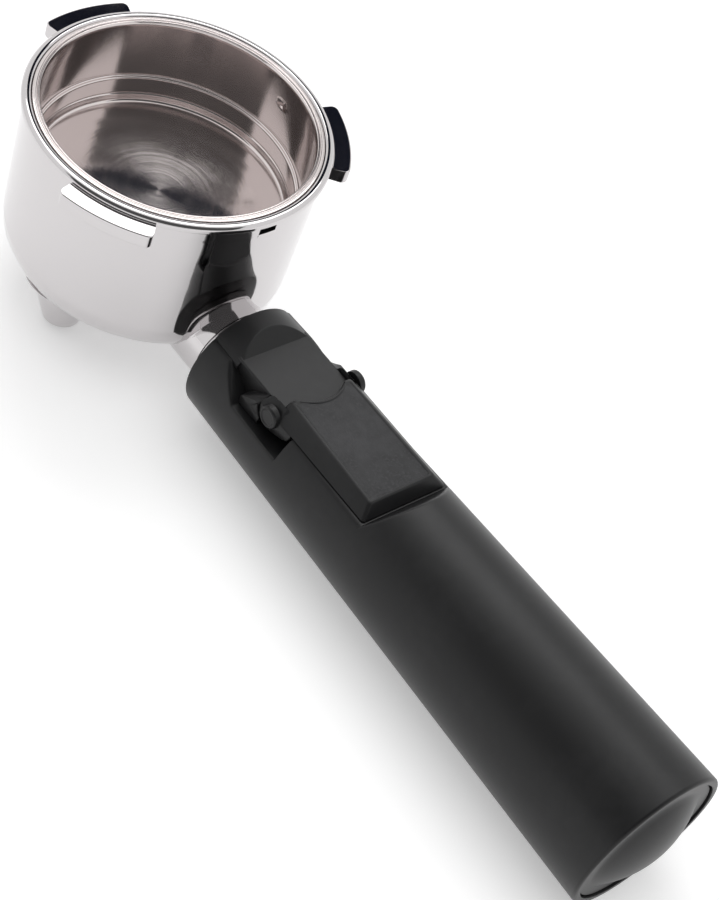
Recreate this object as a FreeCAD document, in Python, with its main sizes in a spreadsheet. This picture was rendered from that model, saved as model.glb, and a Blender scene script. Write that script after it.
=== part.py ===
import FreeCAD, Part
import os

from FreeCAD import Placement, Rotation, Vector

# Filter holder of an espresso machine, in millimetres.
# Origin: on the cup's axis in the plane of the rim. +Z out of the mouth, +X along the handle.

SIZES = {
    # cup
    "rim_radius": 31.0,
    "rim_band": 1.6,
    "rim_round": 0.8,
    "wall_top_radius": 30.3,
    "wall_base_radius": 29.3,
    "cup_depth": 39.1,
    "base_round": 9.0,
    "base_thickness": 2.2,
    "chamber_round": 6.0,
    # bayonet lugs
    "lug_radius": 34.7,
    "lug_span": 33.0,
    "lug_drop": 1.2,
    "lug_thickness": 3.0,
    "lug_round": 1.2,
    "lug_count": 3,
    # window in the wall below the rim
    "window_width": 4.0,
    "window_height": 2.2,
    "window_drop": 1.7,
    # pressed liner
    "bore_radius": 27.2,
    "bore_depth": 14.0,
    "ledge_width": 0.8,
    "liner_depth": 20.0,
    "liner_wall": 0.8,
    "liner_round": 1.5,
    "lip_radius": 29.0,
    "seat_gap": 0.05,
    "dimple_ball": 1.6,
    "dimple_depth": 0.5,
    "dimple_drop": 5.9,
    "drain_radius": 2.5,
    "drain_offset": 17.0,
    # outlet tubes
    "spout_spacing": 34.6,
    "spout_root_radius": 9.0,
    "spout_foot_radius": 4.0,
    "spout_bore": 2.8,
    "spigot_radius": 3.7,
    "spout_length": 10.3,
    "spout_round": 0.5,
    # neck
    "neck_radius": 9.3,
    "neck_root": 15.0,
    "rod_boss_radius": 6.0,
    "rod_boss_cover": 2.5,
    "ferrule_radius": 9.4,
    "ferrule_length": 2.4,
    "ferrule_round": 0.4,
    # handle
    "handle_start": 34.2,
    "handle_length": 125.3,
    "handle_drop": 35.0,
    "handle_front_radius": 13.1,
    "handle_end_radius": 16.7,
    "handle_end_round": 1.4,
    "socket_radius": 10.8,
    "socket_length": 54.3,
    "web_thickness": 3.5,
    "rear_radius": 12.4,
    "cap_recess_radius": 15.1,
    "cap_recess_depth": 2.8,
    # cut-out of the shell, heights above the handle's axis
    "cut_height": 9.4,
    "cut_length": 49.9,
    "cut_lean": 5.0,
    "pocket_height": 4.4,
    "pocket_top_start": 6.1,
    "pocket_start": 12.6,
    "pocket_end": 27.4,
    # core
    "core_gap": 0.15,
    "collar_length": 7.8,
    "collar_top_length": 4.3,
    "floor_height": 10.5,
    "floor_half_width": 8.4,
    "floor_end": 24.1,
    "core_end_gap": 0.3,
    "rib_start": 12.4,
    "rib_foot_height": 4.6,
    "rib_tip_height": 6.7,
    "rib_back_height": 9.8,
    # lever
    "pivot_offset": 20.8,
    "pivot_height": 9.1,
    "pin_radius": 1.0,
    "pin_half_length": 10.3,
    "pin_gap": 0.05,
    "lever_gap": 0.3,
    "lever_front": 1.7,
    "lever_top_height": 12.6,
    "lever_top_half_width": 7.8,
    "lever_foot_half_width": 10.4,
    "lever_rear_slope": 1.8,
    "notch_radius": 9.0,
    "notch_depth": 1.5,
    "arm_thickness": 2.2,
    "arm_length": 6.2,
    "arm_tail_height": 0.6,
    "hub_radius": 3.2,
    "boss_radius": 2.8,
    "boss_height": 0.7,
    # tie rod and its nut
    "rod_radius": 3.0,
    "rod_grip": 13.0,
    "rod_clearance": 0.1,
    "rod_tail": 3.0,
    "washer_radius": 6.5,
    "washer_thickness": 1.2,
    "spring_washer_radius": 5.6,
    "spring_washer_thickness": 1.5,
    "nut_across_flats": 10.0,
    "nut_height": 5.0,
    # end cap
    "cap_gap": 0.2,
    "cap_sink": 0.5,
    "cap_dome_radius": 12.0,
    "cap_dome_height": 3.5,
    "cap_skirt_length": 7.0,
    "cap_skirt_wall": 1.6,
}

doc = FreeCAD.newDocument("FilterHolder")
sheet = doc.addObject("Spreadsheet::Sheet", "Sizes")
for row, (alias, number) in enumerate(SIZES.items(), start=1):
    sheet.set("A%d" % row, alias)
    sheet.set("B%d" % row, str(number))
    sheet.setAlias("B%d" % row, alias)
doc.recompute()

ALONG_X = Rotation(Vector(0, 1, 0), 90)
ALONG_Y = Rotation(Vector(1, 0, 0), -90)
UPRIGHT = Rotation(Vector(1, 0, 0), 90)
LYING = Rotation(Vector(1, 1, 1), 240)
UNTURNED = Rotation()

# Places along X and heights that several pieces share, as expressions on the sheet
AXIS_Z = "-Sizes.handle_drop"
HANDLE_END = "Sizes.handle_start + Sizes.handle_length"
CUT_END = "Sizes.handle_start + Sizes.cut_length"
PIVOT_X = "Sizes.handle_start + Sizes.pivot_offset"
PIVOT_Z = "Sizes.pivot_height - Sizes.handle_drop"
FLOOR_END = "Sizes.handle_start + Sizes.floor_end"
COLLAR_END = "Sizes.handle_start + Sizes.collar_length"
WEB_BACK = "Sizes.handle_start + Sizes.socket_length + Sizes.web_thickness"
ARM_INNER = "Sizes.floor_half_width + Sizes.lever_gap"
ARM_OUTER = ARM_INNER + " + Sizes.arm_thickness"
ROD_START = "Sizes.handle_start - Sizes.ferrule_length - Sizes.rod_grip"
LINER_OUTER = "Sizes.bore_radius + Sizes.liner_wall"
LINER_LOWER = "Sizes.bore_radius - Sizes.ledge_width + Sizes.liner_wall"


def bind(item, **expressions):
    """Ties an object's sizes to the sheet."""
    for size, expression in expressions.items():
        item.setExpression(size, expression)
    return item


def place(item, x="0", y="0", z="0", turn=UNTURNED):
    """Turns an object and ties its place to the sheet."""
    item.Placement = Placement(Vector(), turn)
    item.setExpression("Placement.Base.x", x)
    item.setExpression("Placement.Base.y", y)
    item.setExpression("Placement.Base.z", z)
    return item


def cylinder(name, radius, height, x="0", y="0", z="0", turn=UNTURNED):
    item = bind(doc.addObject("Part::Cylinder", name), Radius=radius, Height=height)
    return place(item, x, y, z, turn)


def cone(name, first, second, height, x="0", y="0", z="0", turn=UNTURNED):
    item = bind(doc.addObject("Part::Cone", name), Radius1=first, Radius2=second, Height=height)
    return place(item, x, y, z, turn)


def box(name, length, width, height, x="0", y="0", z="0"):
    item = bind(doc.addObject("Part::Box", name), Length=length, Width=width, Height=height)
    return place(item, x, y, z)


def ball(name, radius, x="0", y="0", z="0"):
    return place(bind(doc.addObject("Part::Sphere", name), Radius=radius), x, y, z)


def fuse(name, *shapes):
    item = doc.addObject("Part::MultiFuse", name)
    item.Shapes = list(shapes)
    item.Refine = True
    return item


def cut(name, base, *tools):
    item = doc.addObject("Part::Cut", name)
    item.Base = base
    item.Tool = tools[0] if len(tools) == 1 else fuse(name + "_tools", *tools)
    item.Refine = True
    return item


def common(name, *shapes):
    item = doc.addObject("Part::MultiCommon", name)
    item.Shapes = list(shapes)
    return item


def round_edges(name, base, radius, chosen):
    """Rounds the edges of base that chosen(edge) picks."""
    doc.recompute()
    item = doc.addObject("Part::Fillet", name)
    item.Base = base
    edges = enumerate(base.Shape.Edges, start=1)
    item.Edges = [(number, radius, radius) for number, edge in edges if chosen(edge)]
    return item


def ring_at(axis, level):
    """Picks the full circles that lie at one level along an axis."""
    def chosen(edge):
        box = edge.BoundBox
        low, high = (box.XMin, box.XMax) if axis == "x" else (box.ZMin, box.ZMax)
        return edge.isClosed() and abs(low - level) < 1e-4 and abs(high - level) < 1e-4
    return chosen


def outer_corner(edge):
    """Picks the upright edges away from the cup's axis."""
    ends = [vertex.Point for vertex in edge.Vertexes]
    upright = abs(ends[0].z - ends[-1].z) > 1e-4
    return upright and all(abs(end.x) + abs(end.y) > 1e-3 for end in ends)


def size(alias):
    return float(sheet.get(alias))


def handle_cone(name, inset="0"):
    """The handle's outer taper, drawn in by inset."""
    first = "Sizes.handle_front_radius - " + inset
    second = "Sizes.handle_end_radius - " + inset
    return cone(name, first, second, "Sizes.handle_length", "Sizes.handle_start", "0", AXIS_Z, ALONG_X)


def wide_box(name, start, end, low, high, half="2 * Sizes.handle_end_radius"):
    """A box across the handle from start to end, between two heights over its axis."""
    length = "(%s) - (%s)" % (end, start)
    height = "(%s) - (%s)" % (high, low)
    bottom = "%s - Sizes.handle_drop" % low
    return box(name, length, "2 * (%s)" % half, height, start, "-(%s)" % half, bottom)


def pocket_wedge(name, low, high, shift="0"):
    """The pocket's side outline, carried right across the handle between two heights over its axis."""
    rise = "((%s) - Sizes.pocket_height) / (Sizes.cut_height - Sizes.pocket_height)" % high
    front = "Sizes.pocket_start + (Sizes.pocket_top_start - Sizes.pocket_start) * " + rise
    half = "2 * Sizes.handle_end_radius"
    item = doc.addObject("Part::Wedge", name)
    bind(item, Xmin="Sizes.pocket_start", Xmax="Sizes.pocket_end", Ymin="0", Ymax="(%s) - (%s)" % (high, low))
    bind(item, X2min=front, X2max="Sizes.pocket_end")
    bind(item, Zmin="-(%s)" % half, Zmax=half, Z2min="-(%s)" % half, Z2max=half)
    return place(item, "Sizes.handle_start + " + shift, "0", "%s - Sizes.handle_drop" % low, UPRIGHT)


# Cup: casting with rim, lugs, neck and the chamber below the liner


def make_cup_body():
    wall = cone("cup_wall", "Sizes.wall_base_radius", "Sizes.wall_top_radius",
                "Sizes.cup_depth - Sizes.rim_band", z="-Sizes.cup_depth")
    base = round_edges("cup_base_round", wall, size("base_round"), ring_at("z", -size("cup_depth")))
    band = cylinder("cup_band", "Sizes.rim_radius", "Sizes.rim_band", z="-Sizes.rim_band")
    rim = round_edges("cup_rim_round", band, size("rim_round"), ring_at("z", 0.0))
    neck_length = "Sizes.handle_start - Sizes.ferrule_length - Sizes.neck_root"
    neck = cylinder("cup_neck", "Sizes.neck_radius", neck_length, "Sizes.neck_root", "0", AXIS_Z, ALONG_X)
    root = ball("cup_neck_root", "Sizes.neck_radius", "Sizes.neck_root", "0", AXIS_Z)
    solid = fuse("cup_solid", base, rim, neck, root, *make_lugs())
    liner_seat = cylinder("cup_liner_seat", LINER_OUTER + " + Sizes.seat_gap",
                          "Sizes.bore_depth + Sizes.liner_wall", z="-Sizes.bore_depth - Sizes.liner_wall")
    lip_seat = cylinder("cup_lip_seat", "Sizes.lip_radius + Sizes.seat_gap", "Sizes.liner_wall",
                        z="-Sizes.liner_wall")
    chamber_blank = cylinder("cup_chamber_blank", LINER_LOWER + " + Sizes.seat_gap",
                             "Sizes.cup_depth - Sizes.base_thickness",
                             z="Sizes.base_thickness - Sizes.cup_depth")
    chamber_floor = size("base_thickness") - size("cup_depth")
    chamber = round_edges("cup_chamber", chamber_blank, size("chamber_round"), ring_at("z", chamber_floor))
    window = box("cup_window", "Sizes.rim_radius", "Sizes.window_width", "Sizes.window_height",
                 LINER_OUTER, "-Sizes.window_width / 2", "-Sizes.window_drop - Sizes.window_height")
    rod_hole = cylinder("cup_rod_hole", "Sizes.rod_radius + Sizes.rod_clearance",
                        "Sizes.rod_grip + Sizes.rod_clearance", ROD_START + " - Sizes.rod_clearance", "0",
                        AXIS_Z, ALONG_X)
    outlets = [cylinder("cup_outlet_" + side, "Sizes.spigot_radius + Sizes.seat_gap", "Sizes.cup_depth",
                        "0", sign + "Sizes.spout_spacing / 2", "-1.5 * Sizes.cup_depth")
               for side, sign in (("left", ""), ("right", "-"))]
    hollow = cut("cup_hollow", solid, liner_seat, lip_seat, chamber, window, *outlets)
    boss_start = ROD_START + " - Sizes.rod_boss_cover"
    boss = cylinder("cup_rod_boss", "Sizes.rod_boss_radius", "Sizes.rod_grip + Sizes.rod_boss_cover",
                    boss_start, "0", AXIS_Z, ALONG_X)
    return cut("cup_body", fuse("cup_with_boss", hollow, boss), rod_hole)


def make_lugs():
    """Sectors of a disc, spread evenly with one opposite the handle."""
    lugs = []
    for number in range(int(size("lug_count"))):
        turn = "180 + %d * 360 / Sizes.lug_count - Sizes.lug_span / 2" % number
        lug = cylinder("cup_lug_%d" % number, "Sizes.lug_radius", "Sizes.lug_thickness",
                       z="-Sizes.lug_drop - Sizes.lug_thickness", turn=Rotation(Vector(0, 0, 1), 1))
        bind(lug, Angle="Sizes.lug_span")
        lug.setExpression("Placement.Rotation.Angle", turn)
        lugs.append(round_edges("cup_lug_round_%d" % number, lug, size("lug_round"), outer_corner))
    return lugs


def make_inner_cup():
    upper = cylinder("liner_upper", LINER_OUTER, "Sizes.bore_depth + Sizes.liner_wall",
                     z="-Sizes.bore_depth - Sizes.liner_wall")
    lip = cylinder("liner_lip", "Sizes.lip_radius", "Sizes.liner_wall", z="-Sizes.liner_wall")
    lower_blank = cylinder("liner_lower_blank", LINER_LOWER, "Sizes.liner_depth + Sizes.liner_wall",
                           z="-Sizes.liner_depth - Sizes.liner_wall")
    outer_round = size("liner_round") + size("liner_wall")
    lower = round_edges("liner_lower", lower_blank, outer_round,
                        ring_at("z", -size("liner_depth") - size("liner_wall")))
    bore = cylinder("liner_bore", "Sizes.bore_radius", "Sizes.bore_depth", z="-Sizes.bore_depth")
    well_blank = cylinder("liner_well_blank", "Sizes.bore_radius - Sizes.ledge_width", "Sizes.liner_depth",
                          z="-Sizes.liner_depth")
    well = round_edges("liner_well", well_blank, size("liner_round"), ring_at("z", -size("liner_depth")))
    reach = "(Sizes.bore_radius + Sizes.dimple_depth - Sizes.dimple_ball)"
    dimples = [ball("liner_dimple_" + side, "Sizes.dimple_ball", "0", sign + reach, "-Sizes.dimple_drop")
               for side, sign in (("left", ""), ("right", "-"))]
    drain = cylinder("liner_drain", "Sizes.drain_radius", "Sizes.liner_depth", "Sizes.drain_offset", "0",
                     "-1.5 * Sizes.liner_depth")
    return cut("inner_cup", fuse("liner_solid", upper, lip, lower), bore, well, drain, *dimples)


def make_spout(side, sign):
    """Tapered tube fitted to the rounded base, with a spigot through it."""
    y = sign + "Sizes.spout_spacing / 2"
    foot = "-Sizes.cup_depth - Sizes.spout_length"
    blank = cone("spout_%s_blank" % side, "Sizes.spout_foot_radius", "Sizes.spout_root_radius",
                 "Sizes.spout_length + Sizes.base_round / 2", "0", y, foot)
    low_edge = -size("cup_depth") - size("spout_length")
    taper = round_edges("spout_%s_round" % side, blank, size("spout_round"), ring_at("z", low_edge))
    seat_blank = cone("spout_%s_seat_blank" % side, "Sizes.wall_base_radius + Sizes.seat_gap",
                      "Sizes.wall_top_radius + Sizes.seat_gap", "Sizes.cup_depth",
                      z="-Sizes.cup_depth - Sizes.seat_gap")
    seat_edge = -size("cup_depth") - size("seat_gap")
    seat = round_edges("spout_%s_seat" % side, seat_blank, size("base_round"), ring_at("z", seat_edge))
    tube = cut("spout_%s_tube" % side, taper, seat)
    spigot = cylinder("spout_%s_spigot" % side, "Sizes.spigot_radius",
                      "Sizes.spout_length / 2 + Sizes.base_thickness", "0", y,
                      "-Sizes.cup_depth - Sizes.spout_length / 2")
    bore = cylinder("spout_%s_bore" % side, "Sizes.spout_bore", "3 * Sizes.spout_length", "0", y,
                    foot + " - Sizes.spout_length")
    return cut("spout_" + side, fuse("spout_%s_solid" % side, tube, spigot), bore)


# Handle: ferrule, core, shell, end cap and what clamps them on the neck


def make_neck_ferrule():
    start = "Sizes.handle_start - Sizes.ferrule_length"
    blank = cylinder("ferrule_blank", "Sizes.ferrule_radius", "Sizes.ferrule_length", start, "0", AXIS_Z,
                     ALONG_X)
    low = size("handle_start") - size("ferrule_length")
    ring = round_edges("ferrule_ring", blank, size("ferrule_round"), ring_at("x", low))
    hole = cylinder("ferrule_hole", "Sizes.rod_radius + Sizes.rod_clearance", "3 * Sizes.ferrule_length",
                    start + " - Sizes.ferrule_length", "0", AXIS_Z, ALONG_X)
    return cut("neck_ferrule", ring, hole)


def make_handle_shell():
    blank = handle_cone("shell_blank")
    rear = size("handle_start") + size("handle_length")
    body = round_edges("shell_round", blank, size("handle_end_round"), ring_at("x", rear))
    socket = cylinder("shell_socket", "Sizes.socket_radius", "Sizes.socket_length", "Sizes.handle_start", "0",
                      AXIS_Z, ALONG_X)
    rod_hole = cylinder("shell_rod_hole", "Sizes.rod_radius + Sizes.rod_clearance", "Sizes.handle_length / 2",
                        "Sizes.handle_start + Sizes.socket_length / 2", "0", AXIS_Z, ALONG_X)
    rear_room = cylinder("shell_rear_room", "Sizes.rear_radius", "%s - (%s)" % (HANDLE_END, WEB_BACK),
                         WEB_BACK, "0", AXIS_Z, ALONG_X)
    recess = cylinder("shell_cap_recess", "Sizes.cap_recess_radius", "Sizes.cap_recess_depth",
                      HANDLE_END + " - Sizes.cap_recess_depth", "0", AXIS_Z, ALONG_X)
    opening = wide_box("shell_opening", "Sizes.handle_start", CUT_END, "Sizes.cut_height",
                       "2 * Sizes.handle_end_radius")
    pocket = pocket_wedge("shell_pocket", "Sizes.pocket_height", "Sizes.cut_height")
    return cut("handle_shell", body, socket, rod_hole, rear_room, recess, opening, opening_lean(), pocket)


def opening_lean():
    """Wedge that leans the rear of the opening back, so that the lever's rear edge shows from behind."""
    half = "2 * Sizes.handle_end_radius"
    item = doc.addObject("Part::Wedge", "shell_opening_lean")
    bind(item, Xmin="-Sizes.cut_lean", Xmax="0", X2min="-Sizes.cut_lean", X2max="Sizes.cut_lean", Ymin="0",
         Ymax="Sizes.handle_end_radius - Sizes.cut_height")
    bind(item, Zmin="-(%s)" % half, Zmax=half, Z2min="-(%s)" % half, Z2max=half)
    return place(item, CUT_END, "0", "Sizes.cut_height - Sizes.handle_drop", UPRIGHT)


def make_handle_core():
    """Plug in the shell's socket, a collar flush with the shell and the flat floor behind it."""
    plug = cylinder("core_plug", "Sizes.socket_radius - Sizes.core_gap",
                    "Sizes.socket_length - Sizes.core_end_gap", "Sizes.handle_start", "0", AXIS_Z, ALONG_X)
    seat = "Sizes.cut_height + Sizes.core_gap"
    collar_foot = wide_box("core_collar_foot", "Sizes.handle_start", COLLAR_END, seat, "Sizes.floor_height")
    collar = common("core_collar", handle_cone("core_collar_taper", "Sizes.core_gap"),
                    fuse("core_collar_outline", collar_foot, collar_ramp()))
    floor_box = wide_box("core_floor_box", "Sizes.handle_start", FLOOR_END, "0", "Sizes.floor_height",
                         "Sizes.floor_half_width")
    floor_block = common("core_floor_block", handle_cone("core_floor_taper", "Sizes.core_gap"), floor_box)
    floor_top = wide_box("core_floor_top", "Sizes.handle_start", FLOOR_END, seat, "Sizes.floor_height")
    floor_foot = pocket_wedge("core_floor_foot", "Sizes.pocket_height", seat, "Sizes.core_gap")
    floor = common("core_floor", floor_block, fuse("core_floor_outline", floor_top, floor_foot))
    solid = fuse("core_solid", plug, collar, floor)
    behind = wide_box("core_lever_room", FLOOR_END, CUT_END,
                      "Sizes.cut_height - Sizes.lever_gap", "2 * Sizes.handle_end_radius")
    half = "2 * Sizes.handle_end_radius"
    rooms = []
    for side, start in (("left", "Sizes.floor_half_width"), ("right", "-Sizes.floor_half_width - " + half)):
        room = box("core_arm_box_" + side, "Sizes.handle_length", half, half, "Sizes.handle_start", start,
                   "Sizes.pocket_height - Sizes.handle_drop")
        outline = pocket_wedge("core_arm_outline_" + side, "Sizes.pocket_height", "Sizes.floor_height")
        rooms.append(common("core_arm_room_" + side, room, outline))
    rod_hole = cylinder("core_rod_hole", "Sizes.rod_radius + Sizes.rod_clearance", "2 * Sizes.socket_length",
                        "Sizes.handle_start - Sizes.socket_length / 2", "0", AXIS_Z, ALONG_X)
    pin_hole = cylinder("core_pin_hole", "Sizes.pin_radius", "4 * Sizes.floor_half_width", PIVOT_X,
                        "-2 * Sizes.floor_half_width", PIVOT_Z, ALONG_Y)
    ribs = [make_rib(side, sign) for side, sign in (("left", ""), ("right", "-"))]
    return cut("handle_core", fuse("core_with_ribs", cut("core_with_rooms", solid, behind, *rooms), *ribs),
               rod_hole, pin_hole)


def make_rib(side, sign):
    """Rib on the floor's side, in front of a lever hub, with a sloping top."""
    inner = "Sizes.floor_half_width / 2"
    start = inner if sign == "" else "-(%s)" % ARM_OUTER
    length = "Sizes.pivot_offset - Sizes.hub_radius - Sizes.lever_gap - Sizes.rib_start"
    width = "%s - %s" % (ARM_OUTER, inner)
    rib = doc.addObject("Part::Wedge", "core_rib_" + side)
    bind(rib, Xmin="Sizes.rib_foot_height", Xmax="Sizes.rib_tip_height", X2min="Sizes.rib_foot_height",
         X2max="Sizes.rib_back_height", Ymin="0", Ymax=length)
    bind(rib, Zmin="0", Zmax=width, Z2min="0", Z2max=width)
    return place(rib, "Sizes.handle_start + Sizes.rib_start", start, AXIS_Z, LYING)


def collar_ramp():
    """Block over the floor's height whose rear slopes from the collar's top down to the floor."""
    half = "2 * Sizes.handle_end_radius"
    item = doc.addObject("Part::Wedge", "core_collar_ramp")
    bind(item, Xmin="0", Xmax="Sizes.collar_length", X2min="0", X2max="Sizes.collar_top_length", Ymin="0",
         Ymax="Sizes.handle_front_radius - Sizes.floor_height")
    bind(item, Zmin="-(%s)" % half, Zmax=half, Z2min="-(%s)" % half, Z2max=half)
    return place(item, "Sizes.handle_start", "0", "Sizes.floor_height - Sizes.handle_drop", UPRIGHT)


def make_end_cap():
    start = HANDLE_END + " - Sizes.cap_recess_depth"
    thickness = "Sizes.cap_recess_depth - Sizes.cap_sink"
    disc = cylinder("cap_disc", "Sizes.cap_recess_radius - Sizes.cap_gap", thickness, start, "0", AXIS_Z,
                    ALONG_X)
    sphere = "(Sizes.cap_dome_radius^2 + Sizes.cap_dome_height^2) / (2 * Sizes.cap_dome_height)"
    face = HANDLE_END + " - Sizes.cap_sink"
    globe = ball("cap_globe", sphere, "%s + Sizes.cap_dome_height - %s" % (face, sphere), "0", AXIS_Z)
    lens = cylinder("cap_lens", "Sizes.cap_recess_radius", "Sizes.cap_recess_radius",
                    face, "0", AXIS_Z, ALONG_X)
    dome = common("cap_dome", globe, lens)
    skirt = cylinder("cap_skirt", "Sizes.rear_radius - Sizes.cap_gap", "Sizes.cap_skirt_length",
                     start + " - Sizes.cap_skirt_length", "0", AXIS_Z, ALONG_X)
    hollow = cylinder("cap_hollow", "Sizes.rear_radius - Sizes.cap_gap - Sizes.cap_skirt_wall",
                      "Sizes.cap_skirt_length", start + " - Sizes.cap_skirt_length", "0", AXIS_Z, ALONG_X)
    return cut("end_cap", fuse("cap_solid", disc, dome, skirt), hollow)


def make_tie_rod():
    stack = "Sizes.washer_thickness + Sizes.spring_washer_thickness + Sizes.nut_height + Sizes.rod_tail"
    length = "%s + %s - (%s)" % (WEB_BACK, stack, ROD_START)
    return cylinder("tie_rod", "Sizes.rod_radius", length, ROD_START, "0", AXIS_Z, ALONG_X)


def make_washer(name, radius, thickness, start):
    disc = cylinder(name + "_disc", radius, thickness, start, "0", AXIS_Z, ALONG_X)
    hole = cylinder(name + "_hole", "Sizes.rod_radius + Sizes.rod_clearance", "3 * " + thickness,
                    "%s - %s" % (start, thickness), "0", AXIS_Z, ALONG_X)
    return cut(name, disc, hole)


def make_tie_nut():
    start = WEB_BACK + " + Sizes.washer_thickness + Sizes.spring_washer_thickness"
    prism = doc.addObject("Part::Prism", "nut_prism")
    bind(prism, Circumradius="Sizes.nut_across_flats / (2 * cos(30 deg))", Height="Sizes.nut_height")
    place(prism, start, "0", AXIS_Z, ALONG_X)
    hole = cylinder("nut_hole", "Sizes.rod_radius + Sizes.rod_clearance", "3 * Sizes.nut_height",
                    start + " - Sizes.nut_height", "0", AXIS_Z, ALONG_X)
    return cut("tie_nut", prism, hole)


# Lever and its pin


def make_hinge_pin():
    return cylinder("hinge_pin", "Sizes.pin_radius", "2 * Sizes.pin_half_length", PIVOT_X,
                    "-Sizes.pin_half_length", PIVOT_Z, ALONG_Y)


def make_lever_plate():
    """Plate with sloping sides and rear, its front edge hollowed by an upright cylinder."""
    front = PIVOT_X + " + Sizes.lever_front"
    rear = CUT_END + " - Sizes.lever_gap"
    foot = "Sizes.cut_height + Sizes.lever_gap"
    plate = doc.addObject("Part::Wedge", "lever_plate_blank")
    length = "%s - (%s)" % (rear, front)
    bind(plate, Xmin="0", Xmax=length, X2min="0", X2max=length + " - Sizes.lever_rear_slope", Ymin="0",
         Ymax="Sizes.lever_top_height - (%s)" % foot)
    bind(plate, Zmin="-Sizes.lever_foot_half_width", Zmax="Sizes.lever_foot_half_width",
         Z2min="-Sizes.lever_top_half_width", Z2max="Sizes.lever_top_half_width")
    place(plate, front, "0", "%s - Sizes.handle_drop" % foot, UPRIGHT)
    notch = cylinder("lever_notch", "Sizes.notch_radius", "Sizes.handle_drop",
                     "%s + Sizes.notch_depth - Sizes.notch_radius" % front, "0", "-Sizes.handle_drop")
    over_floor = wide_box("lever_over_floor", PIVOT_X, FLOOR_END + " + Sizes.lever_gap", "0",
                          "Sizes.floor_height + Sizes.lever_gap", ARM_INNER)
    return cut("lever_plate", plate, notch, over_floor)


def make_arm(side, sign):
    """Arm beside the core, from the hub on the pin to the plate, with a round boss outside."""
    inner = ARM_INNER if sign == "" else "-(%s)" % ARM_OUTER
    foot = "Sizes.cut_height + Sizes.lever_gap"
    arm = doc.addObject("Part::Wedge", "lever_arm_" + side)
    bind(arm, Xmin="Sizes.pivot_height - Sizes.hub_radius", Xmax="Sizes.pivot_height + Sizes.hub_radius",
         X2min=foot, X2max=foot + " + Sizes.arm_tail_height", Ymin="0", Ymax="Sizes.arm_length")
    bind(arm, Zmin="0", Zmax="Sizes.arm_thickness", Z2min="0", Z2max="Sizes.arm_thickness")
    place(arm, PIVOT_X, inner, AXIS_Z, LYING)
    hub = cylinder("lever_hub_" + side, "Sizes.hub_radius", "Sizes.arm_thickness", PIVOT_X, inner, PIVOT_Z,
                   ALONG_Y)
    start = ARM_INNER if sign == "" else "-(%s) - Sizes.boss_height" % ARM_OUTER
    boss = cylinder("lever_boss_" + side, "Sizes.boss_radius", "Sizes.arm_thickness + Sizes.boss_height",
                    PIVOT_X, start, PIVOT_Z, ALONG_Y)
    return fuse("lever_side_" + side, arm, hub, boss)


def make_thumb_lever():
    sides = [make_arm(side, sign) for side, sign in (("left", ""), ("right", "-"))]
    solid = fuse("lever_solid", make_lever_plate(), *sides)
    reach = "Sizes.pin_half_length + Sizes.lever_gap"
    pin_hole = cylinder("lever_pin_hole", "Sizes.pin_radius + Sizes.pin_gap", "2 * (%s)" % reach, PIVOT_X,
                        "-(%s)" % reach, PIVOT_Z, ALONG_Y)
    return cut("thumb_lever", solid, pin_hole)


parts = {
    "cup_body": make_cup_body(),
    "inner_cup": make_inner_cup(),
    "spout_left": make_spout("left", ""),
    "spout_right": make_spout("right", "-"),
    "neck_ferrule": make_neck_ferrule(),
    "handle_shell": make_handle_shell(),
    "handle_core": make_handle_core(),
    "end_cap": make_end_cap(),
    "tie_rod": make_tie_rod(),
    "tie_washer": make_washer("tie_washer", "Sizes.washer_radius", "Sizes.washer_thickness", WEB_BACK),
    "spring_washer": make_washer("spring_washer", "Sizes.spring_washer_radius",
                                 "Sizes.spring_washer_thickness", WEB_BACK + " + Sizes.washer_thickness"),
    "tie_nut": make_tie_nut(),
    "hinge_pin": make_hinge_pin(),
    "thumb_lever": make_thumb_lever(),
}
doc.recompute()

for item in doc.Objects:
    if "Invalid" in item.State or "Error" in item.State:
        raise RuntimeError("%s failed: %s" % (item.Name, item.State))
for node, item in parts.items():
    item.Label = node
    if item.Shape.isNull() or not item.Shape.isValid():
        raise RuntimeError("%s has no valid shape" % node)
    if len(item.Shape.Solids) != 1:
        raise RuntimeError("%s has %d solids" % (node, len(item.Shape.Solids)))

os.makedirs("parts", exist_ok=True)
for node, item in parts.items():
    item.Shape.exportStep("parts/%s.step" % node)
    print("%-14s %9.1f mm3" % (node, item.Shape.Volume))
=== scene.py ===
# %% [markdown]
# # A filter holder for an espresso machine
# The object is a chromed cup with three locking lugs, a pressed steel liner in it, and a black handle with
# a lever that flips up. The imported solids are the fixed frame: every piece made here sits where its solid
# is, and stands for it. Sizes below are in millimetres, in the frame of the solids: the origin is in the
# middle of the rim, +Z points out of the mouth and +X along the handle.

# %% Load the frame
import math

import bmesh
import bpy
import numpy as np
from mathutils import Matrix, Vector


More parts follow.
